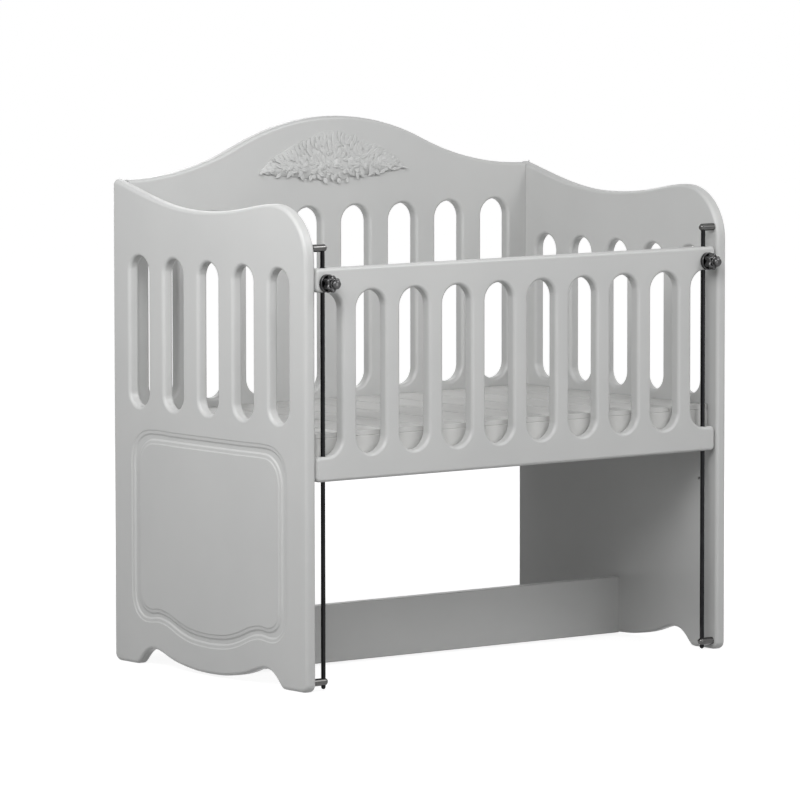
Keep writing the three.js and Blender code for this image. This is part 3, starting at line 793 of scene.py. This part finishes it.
spare = betweenEnds["spare"]
stretcherBoard = makeBoard([drawOutline([(-spare, stretcher["bottom"]), (spare, stretcher["bottom"]),
                                         (spare, stretcher["top"]), (-spare, stretcher["top"])])],
                           stretcher["thickness"], stretcher["roundOver"], 4)
trimEnds(stretcherBoard)
cutRound(stretcherBoard, fittingBores(stretcher["cams"], stretcher["dowels"]))
stretcherRear = middleY / mm + stretcher["thickness"] / 2
standUp(stretcherBoard, (0, stretcherRear * mm, 0), "front")
softShading(stretcherBoard)
finishPiece(stretcherBoard, "stretcher_board", "frame", "lower_stretcher", lacquerPaint)
print("back panel and stretcher stand")


# drop side

dropSide = {
    "thickness": 22,
    "roundOver": 6,
    "half": 452,
    "bottom": 364,
    "top": 734,
    "corner": 8,
    "openAt": 427.5,          # middle of the slot that is left open at each end
    "slots": (8, 95, 64, 408, 692),
    "rear": -245.5,
    "rodBore": (6.5, 60, (386, 713)),      # radius, length, middle heights
    "clampBore": (6.3, 12, 17),            # radius, length, middle depth from the rear
}


def dropOutline():
    half, corner, openAt = dropSide["half"], dropSide["corner"], dropSide["openAt"]
    count, pitch, width, low, high = dropSide["slots"]
    bend = width / 2
    inside = half - corner
    right = arcLine((inside, dropSide["bottom"] + corner), corner, 270, 360, 6)
    right += arcLine((inside, low - corner), corner, 0, 90, 6)
    right += arcLine((openAt, low + bend), bend, 270, 180, 20)
    right += arcLine((openAt, high - bend), bend, 180, 90, 20)
    right += arcLine((inside, high + corner), corner, 270, 360, 6)
    right += arcLine((inside, dropSide["top"] - corner), corner, 0, 90, 6)
    return right + [(-x, z) for x, z in reversed(right)]


dropBoard = makeBoard([drawOutline(dropOutline())] + slotRow(*dropSide["slots"]), dropSide["thickness"],
                      dropSide["roundOver"])
rodRadius, rodLength, rodHeights = dropSide["rodBore"]
clampRadius, clampLength, clampDepth = dropSide["clampBore"]
dropBores = []
for x in (rodAcross, -rodAcross):
    dropBores += [((x, height, dropSide["thickness"] / 2), rodRadius, rodLength, "y")
                  for height in rodHeights]
    dropBores.append(((x, clampHeight, clampDepth), clampRadius, clampLength, "z"))
cutRound(dropBoard, dropBores)
standUp(dropBoard, (0, dropSide["rear"] * mm, 0), "front")
softShading(dropBoard)
finishPiece(dropBoard, "drop_side_board", "drop_side", "drop_side_panel", lacquerPaint)
print("drop side stands")


# guide rods and the studs that hold them

rodWork = {
    "depth": -256.5,
    "radius": 4,
    "bottom": 3,
    "rings": (300, 560),
    "top": 772.5,
    "chamfer": 0.6,
    "studs": (768.5, 16),
    "boreRoom": 0.15,          # round the rod, and how far the bore goes beyond the stud's middle
    "boreReach": 12,
    "topBoreReach": 4.15,      # the upper stud is closed above the rod
    # from the wall to the free end: radius, distance from the panel's face
    "studProfile": [(0, -14), (3.1, -14), (3.5, -13.5), (3.5, 0.3), (6.2, 0.3), (6.7, 0.8), (6.7, 26.2),
                    (6.62, 26.7), (6.3, 27.6), (5.6, 28.9), (4.7, 30.1), (3.9, 30.75), (3.1, 31.05),
                    (0, 31.2)],
}


def makeRod():
    radius, low, high, chamfer = (rodWork[size] for size in ("radius", "bottom", "top", "chamfer"))
    tip = [(radius * math.sin(math.radians(angle)), low + radius * (1 - math.cos(math.radians(angle))))
           for angle in range(0, 91, 15)]
    shank = [(radius, height) for height in (*rodWork["rings"], high - chamfer)]
    rod = turnProfile(tip + shank + [(radius - chamfer, high), (0, high)], 40)
    rod.location = (rodAcross * mm, rodWork["depth"] * mm, 0)
    applyPlace(rod)
    return rod


def makeStud(height):
    stud = turnProfile(rodWork["studProfile"], 56)
    stud.rotation_euler = (0, -math.pi / 2, 0)      # the free end points into the crib
    stud.location = (wall * mm, rodWork["depth"] * mm, height * mm)
    applyPlace(stud)
    upper = height == rodWork["studs"][0]
    low, high = height - rodWork["boreReach"], height + rodWork["topBoreReach" if upper else "boreReach"]
    cutRound(stud, [((rodAcross, rodWork["depth"], (low + high) / 2), rodWork["radius"] + rodWork["boreRoom"],
                     high - low, "z")])
    return stud


def finishPair(right, name, body, node, material, degrees=40):
    # adds the left piece; the stars stand for the side
    softShading(right, degrees)
    left = copyOf(right, "left_" + name)
    mirrorAcross(left)
    softShading(left, degrees)
    for side, piece in (("right", right), ("left", left)):
        finishPiece(piece, side + "_" + name, body.replace("*", side), node.replace("*", side),
                    material)


finishPair(makeRod(), "rod", "frame", "guide_rod_*", rodMetal, 30)
for label, height in zip(("top", "bottom"), rodWork["studs"]):
    finishPair(makeStud(height), "stud_" + label, "frame", "rod_stud_*_" + label, studMetal)
print("rods and studs made")


# clamps: a rosette on the drop side, and a lobed knob that turns in front of it

clamp = {
    "face": -267.5,            # front of the drop side
    # radius, distance in front of the drop side
    "rosette": [(3.1, -4.5), (6, -4.5), (6, 0.25), (15.6, 0.25), (16, 0.7), (16, 5.9), (15.8, 6.5),
                (15.3, 6.85), (14.6, 6.8), (14.1, 6.2), (13.4, 5.9), (8, 5.9), (3.1, 5.9)],
    "lobes": 6,
    "knobRadius": 14.9,
    "flute": 3.4,
    "knobStart": 7.6,
    "knobLength": 14.9,
    "knobRound": 2.4,
    "dish": [(1.2, 0), (0.8, -0.7)],      # width and depth of the steps round the cap
    "screwBore": (3.3, 10),
    # radius, distance in front of the knob's back
    "cap": [(0, 13), (8.6, 13), (8.6, 14.8), (8.3, 15.4), (7.1, 15.9), (6.8, 16.5), (6.8, 17), (7.4, 17.6),
            (8, 18.3), (8.2, 19), (8.2, 22.4), (7.95, 23.6), (7.3, 24.7), (6.2, 25.6), (4.6, 26.15),
            (2.6, 26.35), (0, 26.4)],
}


def makeRosette():
    rosette = turnProfile(clamp["rosette"], 72, closed=True)
    standUp(rosette, (rodAcross * mm, clamp["face"] * mm, clampHeight * mm), "front")
    return rosette


def knobOutline():
    steps = clamp["lobes"] * 14
    line = []
    for step in range(steps):
        angle = 2 * math.pi * step / steps
        wave = (1 - math.cos(clamp["lobes"] * angle)) / 2
        radius = clamp["knobRadius"] - clamp["flute"] * wave ** 1.2
        line.append((radius * math.sin(angle), radius * math.cos(angle)))
    return line


def makeKnob():
    body = makeBoard([drawOutline(knobOutline())], clamp["knobLength"], clamp["knobRound"])
    pick(body, "FACE", lambda face: face.normal.z > straight
         and face.center.z > (clamp["knobLength"] - 0.1) * mm)
    for width, depth in clamp["dish"]:
        bpy.ops.mesh.inset(thickness=width * mm, depth=depth * mm)
    objectMode()
    cutRound(body, [((0, 0, 1), *clamp["screwBore"], "z")])
    knob = joinPieces([body, turnProfile(clamp["cap"], 48)])
    standUp(knob, (rodAcross * mm, (clamp["face"] - clamp["knobStart"]) * mm, clampHeight * mm), "front")
    return knob


finishPair(makeRosette(), "rosette", "drop_side", "clamp_rosette_*", chrome)
finishPair(makeKnob(), "knob", "*_clamp_knob", "clamp_knob_*", chrome)
print("clamps made")


# cams in the rear faces, with a cross for the screwdriver

camWork = {
    # radius, distance from the rear face inwards
    "profile": [(0, 0), (6.1, 0), (6.6, 0.35), (7, 0.1), (7.5, 0.5), (7.5, 12.5), (0, 12.5)],
    "cross": (8.4, 1.7, 2.4),      # length, width and depth of its bars
    "sunk": 0.3,
}


def makeCam():
    cam = turnProfile(camWork["profile"], 40)
    length, width, depth = camWork["cross"]
    bars = []
    for across, along in ((length, width), (width, length)):
        deselectAll()
        bpy.ops.mesh.primitive_cube_add(size=mm, location=(0, 0, 0), scale=(across, along, depth * 2))
        bars.append(bpy.context.object)
        applyPlace(bars[-1])
    for bar in bars:
        cutAway(cam, bar)
    return cam


camPattern = makeCam()
camPlaces = [("back_*_upper", "back_upper_cam", rear, backPanel["cams"][0]),
             ("back_*_lower", "back_lower_cam", rear, backPanel["cams"][1]),
             ("stretcher_*", "stretcher_cam", stretcherRear, stretcher["cams"][0])]
for node, name, camRear, height in camPlaces:
    cam = copyOf(camPattern, "cam")
    camX = wall - betweenEnds["camInset"]
    standUp(cam, (camX * mm, (camRear - camWork["sunk"]) * mm, height * mm), "front")
    finishPair(cam, name, "frame", "cam_" + node, zinc, 30)
bpy.data.objects.remove(camPattern)
print("cams made")


# carved spray: leaves, roses and small blossoms on a mound that swells towards its lower edge

spray = {
    "half": 168,
    "heart": 858,              # height that the leaves fan out from
    "band": 14,                # the mound is brought forward in bands of this width
    # upper and lower edge of the mound, from the middle out: x, height
    "upperEdge": [(0, 936), (21, 935), (36, 930), (50, 924), (75, 916), (90, 911), (110, 903), (134, 891),
                  (147, 883), (158, 873), (168, 862)],
    "lowerEdge": [(0, 844), (25, 845), (42, 851), (60, 851), (84, 854), (104, 856), (128, 856), (142, 861),
                  (168, 861)],
    "leafWidths": [0.3, 0.74, 1.0, 0.94, 0.64, 0.12],
    "petalWidths": [0.36, 0.82, 1.06, 1.02, 0.7],
    "fullness": 6.4,           # how far the mound stands out near its lower edge
    "taper": 60,               # its ends thin out over this length
    "footShare": 0.26,         # it is full from this share of its height on
    "freeTip": 3.6,            # tips of the low leaves hang at least this far off the board
    "curlHalf": 150,
    # count, share of the mound's height that the tips reach, length, width, how far they turn aside
    "leafRows": [(35, 1.02, 22, 9.5, 12), (31, 0.87, 20, 9.5, 18), (27, 0.72, 18, 9, 26),
                 (23, 0.56, 16, 9, 36), (19, 0.42, 16, 9.5, 52), (17, 0.25, 15, 9.5, 68)],
    "hangingLeaves": [(17, -0.05, 16, 10, 42), (15, 0.08, 14, 9.5, 50)],
    # count, share of the mound's height, size
    "curls": [(21, 0.13, 10), (23, 0.27, 10), (21, 0.4, 9), (18, 0.54, 8), (13, 0.68, 7.5), (8, 0.82, 6.5)],
    "roses": [(7, 875, 10.5), (-29, 871, 9), (39, 879, 9.5), (-66, 874, 8), (73, 870, 8.5), (104, 874, 7)],
    "blossoms": [(-12, 858, 5.5), (24, 860, 5), (-48, 862, 5), (54, 861, 5.5), (-88, 864, 4.5),
                 (89, 861, 4.5), (124, 868, 4.5), (-8, 896, 4.5), (22, 901, 4.5)],
    # rings of a rose: count, reach, lean in degrees, rise, first petal's turn
    "roseRings": [(6, 1.0, -8, 0.0, 0), (5, 0.72, -5, 0.06, 30), (3, 0.46, 0, 0.12, 10)],
}


def edgeHeight(edge, x):
    # height of an edge of the mound at x, the same on both sides
    x = abs(x)
    for (startX, startZ), (endX, endZ) in zip(edge, edge[1:]):
        if x <= endX:
            return startZ + (endZ - startZ) * (x - startX) / (endX - startX)
    return edge[-1][1]


def swell(x, share):
    # how far the mound stands out at a share of its height
    ends = min(1, max(0, spray["half"] - abs(x)) / spray["taper"]) ** 0.6
    foot = min(1, max(0, share) / spray["footShare"]) ** 0.8
    return 1.0 + spray["fullness"] * (0.35 + 0.65 * ends) * foot * (1 - 0.86 * max(0, min(1, share)) ** 1.1)


def spotOn(x, share):
    low, high = edgeHeight(spray["lowerEdge"], x), edgeHeight(spray["upperEdge"], x)
    return low + (high - low) * share


def swellAt(x, z):
    low, high = edgeHeight(spray["lowerEdge"], x), edgeHeight(spray["upperEdge"], x)
    return swell(x, (z - low) / max(1, high - low))


def makeMound():
    # a grid whose columns are set between the two edges, then each row is brought forward;
    # columns that are done stand 2 m up, out of the way of the selection
    deselectAll()
    bpy.ops.mesh.primitive_grid_add(x_subdivisions=56, y_subdivisions=14, size=2)
    mound = bpy.context.object
    columns = sorted({round(vertex.co.x, 4) for vertex in mound.data.vertices})
    rows = sorted({round(vertex.co.y, 4) for vertex in mound.data.vertices})
    for column in columns:
        x = column * (spray["half"] - 1)
        low, high = edgeHeight(spray["lowerEdge"], x), edgeHeight(spray["upperEdge"], x)
        pick(mound, "VERT", lambda vertex: abs(vertex.co.x - column) < 0.001 and vertex.co.y < 1.5)
        bpy.ops.transform.resize(value=(1, (high - low) / 2 * mm, 1), center_override=(column, 0, 0))
        bpy.ops.transform.translate(value=(x * mm - column, (high + low) / 2 * mm + 2, 0))
        objectMode()
    for index, row in enumerate(rows):
        share = index / (len(rows) - 1)
        for band in range(12):
            pick(mound, "VERT", lambda vertex: int(abs(vertex.co.x) / mm / (spray["band"] + 0.01)) == band
                 and abs(vertex.co.y - 2 - spotOn(vertex.co.x / mm, share) * mm) < 0.2 * mm)
            bpy.ops.transform.translate(value=(0, 0, swell((band + 0.5) * spray["band"], share) * mm))
            objectMode()
    mound.location = (0, -2, 0)
    applyPlace(mound)
    pick(mound, "EDGE", lambda edge: False)
    bpy.ops.mesh.select_non_manifold(extend=False, use_wire=False, use_boundary=True, use_multi_face=False,
                                     use_non_contiguous=False, use_verts=False)
    bpy.ops.mesh.extrude_region_move(TRANSFORM_OT_translate={"value": (0, 0, 0)})
    bpy.ops.transform.resize(value=(1, 1, 0), center_override=(0, 0, 0))
    bpy.ops.mesh.edge_face_add()
    objectMode()
    mergeClose(mound)
    return mound


def shapeRows(sheet, widths, lift):
    # narrows each row of a grid to the outline and lifts it
    rows = sorted({round(vertex.co.y, 4) for vertex in sheet.data.vertices})
    for index, (level, width) in enumerate(zip(rows, widths)):
        pick(sheet, "VERT", lambda vertex: abs(vertex.co.y - level) < 0.001)
        bpy.ops.transform.resize(value=(width, 1, 1), center_override=(0, level, 0))
        bpy.ops.transform.translate(value=(0, 0, lift(index / (len(rows) - 1))))
        objectMode()


def liftColumns(sheet, lift):
    columns = sorted({round(vertex.co.x, 4) for vertex in sheet.data.vertices})
    half = columns[-1]
    for column in columns:
        pick(sheet, "VERT", lambda vertex: abs(vertex.co.x - column) < 0.001)
        bpy.ops.transform.translate(value=(0, 0, lift(abs(column) / half)))
        objectMode()


def thicken(sheet, thickness):
    # its root comes to the origin, and it gets a body and soft edges
    sheet.location = (0, 0.5, 0)
    applyPlace(sheet)
    solidify = sheet.modifiers.new("body", "SOLIDIFY")
    solidify.thickness = thickness
    solidify.offset = -1
    smooth = sheet.modifiers.new("soft", "SUBSURF")
    smooth.levels = 1
    smooth.render_levels = 1
    applyModifiers(sheet)


def makeLeaf():
    deselectAll()
    bpy.ops.mesh.primitive_grid_add(x_subdivisions=4, y_subdivisions=5, size=1)
    leaf = bpy.context.object
    # a vein down the middle, full halves and thin edges
    liftColumns(leaf, lambda out: 0.0 if out < 0.1 else (0.2 if out < 0.8 else 0.0))
    shapeRows(leaf, spray["leafWidths"], lambda along: 0.12 * math.sin(math.pi * along) - 0.1 * along ** 3)
    thicken(leaf, 0.14)
    return leaf


def makePetal():
    deselectAll()
    bpy.ops.mesh.primitive_grid_add(x_subdivisions=4, y_subdivisions=4, size=1)
    petal = bpy.context.object
    # full in the middle, and falling away all round
    liftColumns(petal, lambda out: 0.3 * (1 - out * out))
    shapeRows(petal, spray["petalWidths"],
              lambda along: 0.3 * math.sin(math.pi * (0.15 + 0.85 * along)) - 0.1)
    thicken(petal, 0.09)
    return petal


def placeShape(pattern, at, turn, size):
    # turn: from straight up, then lean of the tip towards the viewer
    twin = copyOf(pattern, "carving")
    twin.scale = [value * mm for value in size]
    twin.rotation_euler = (math.radians(turn[1]), 0, math.radians(turn[0]))
    twin.location = [value * mm for value in at]
    return twin


def makeRose(petal, at, radius, level):
    petals = []
    for count, reach, lean, rise, start in spray["roseRings"]:
        for step in range(count):
            angle = start + 360 * step / count + random.uniform(-9, 9)
            size = radius * reach
            petals.append(placeShape(petal, (at[0], at[1], level + rise * radius), (angle, lean),
                                     (size * 1.05, size, size * 0.45)))
    return petals + [makeBud(at, radius * 0.18, level + radius * 0.12)]


def makeBud(at, radius, level):
    deselectAll()
    bpy.ops.mesh.primitive_uv_sphere_add(segments=12, ring_count=8, radius=radius * mm,
                                         location=(at[0] * mm, at[1] * mm, level * mm))
    bud = bpy.context.object
    editMode()
    bpy.ops.transform.resize(value=(1, 1, 0.8))
    objectMode()
    return bud


def makeBlossom(petal, at, radius, level):
    petals = []
    turn = random.uniform(0, 72)
    for step in range(5):
        petals.append(placeShape(petal, (at[0], at[1], level), (turn + 72 * step, 0),
                                 (radius * 0.9, radius, radius * 0.5)))
    return petals + [makeBud(at, radius * 0.2, level + radius * 0.03)]


def leafRow(leaf, count, reach, length, width, aside):
    # leaves that fan out from the heart of the spray and lie on the mound
    leaves = []
    low = reach < 0.3
    for step in range(count):
        share = (step + 0.5) / count * 2 - 1
        tipX = math.copysign(abs(share) ** 0.95, share) * (166 - 52 * (1 - max(0, reach)))
        tipZ = spotOn(tipX, reach + random.uniform(-0.07, 0.05))
        heartX, heartZ = tipX * 0.6, spray["heart"]
        if low:
            heartX, heartZ = tipX * 0.88, spotOn(tipX * 0.88, 0.5)
        way = math.atan2(heartX - tipX, tipZ - heartZ) + math.radians(random.uniform(-aside, aside))
        size = length * random.uniform(0.75, 1.2)
        footX, footZ = tipX + math.sin(way) * size, tipZ - math.cos(way) * size
        footLevel, tipLevel = swellAt(footX, footZ), swellAt(tipX, tipZ)
        if low:
            tipLevel = max(tipLevel, spray["freeTip"])
        lean = math.degrees(math.atan2(tipLevel - footLevel, size)) + random.uniform(0, 6)
        place = (footX, footZ, footLevel + step % 2 * 0.5 - 0.3)
        leaves.append(placeShape(leaf, place, (math.degrees(way), lean),
                                 (width * random.uniform(0.85, 1.15), size, size * 0.3)))
    return leaves


def curlRow(leaf, count, share, size):
    # small curled lobes between the leaves, turned every way
    curls = []
    for step in range(count):
        x = ((step + 0.5) / count * 2 - 1) * spray["curlHalf"] + random.uniform(-7, 7)
        z = spotOn(x, share + random.uniform(-0.06, 0.06))
        length = size * random.uniform(0.8, 1.2)
        turn = (random.uniform(-130, 130), random.uniform(-6, 5))
        curls.append(placeShape(leaf, (x, z, swellAt(x, z) + 0.3), turn,
                                (length * 0.72, length * 1.3, length * 0.5)))
    return curls


def makeSpray():
    leaf, petal = makeLeaf(), makePetal()
    carving = [makeMound()]
    for row in spray["leafRows"] + spray["hangingLeaves"]:
        carving += leafRow(leaf, *row)
    for row in spray["curls"]:
        carving += curlRow(leaf, *row)
    for x, z, radius in spray["roses"]:
        carving += makeRose(petal, (x, z), radius, swellAt(x, z) + 0.2)
    for x, z, radius in spray["blossoms"]:
        carving += makeBlossom(petal, (x, z), radius, swellAt(x, z) + 0.4)
    whole = joinPieces(carving)
    for pattern in (leaf, petal):
        bpy.data.objects.remove(pattern)
    return whole


carvedSpray = makeSpray()
boardFront = rear - backPanel["thickness"]
standUp(carvedSpray, (0, (boardFront - 0.3) * mm, 0), "front")
softShading(carvedSpray, 50, weighted=False)
finishPiece(carvedSpray, "floral_spray", "frame", "carved_spray", carvingPaint)
print("spray:", len(carvedSpray.data.polygons), "faces")

bpy.data.materials.remove(plainMark)
bpy.data.materials.remove(grooveMark)


# CAD nodes that keep their shape and get their finish

def paintNodes(starts, material):
    for name in nodes:
        if name.startswith(starts):
            nodes[name].data.materials.clear()
            nodes[name].data.materials.append(material)


paintNodes("", lacquerPaint)
paintNodes("base_slat", slatPaint)
paintNodes(("base_front_rail", "base_back_rail"), railPaint)
paintNodes(("base_left_rail", "base_right_rail"), sideRailPaint)
paintNodes(("cam_", "base_bolt", "clamp_screw"), zinc)
paintNodes(("rod_stud", "clamp_knob", "clamp_rosette"), chrome)
paintNodes("guide_rod", rodMetal)
paintNodes(("rod_sleeve", "clamp_pad"), nylon)
paintNodes("dowel", beech)
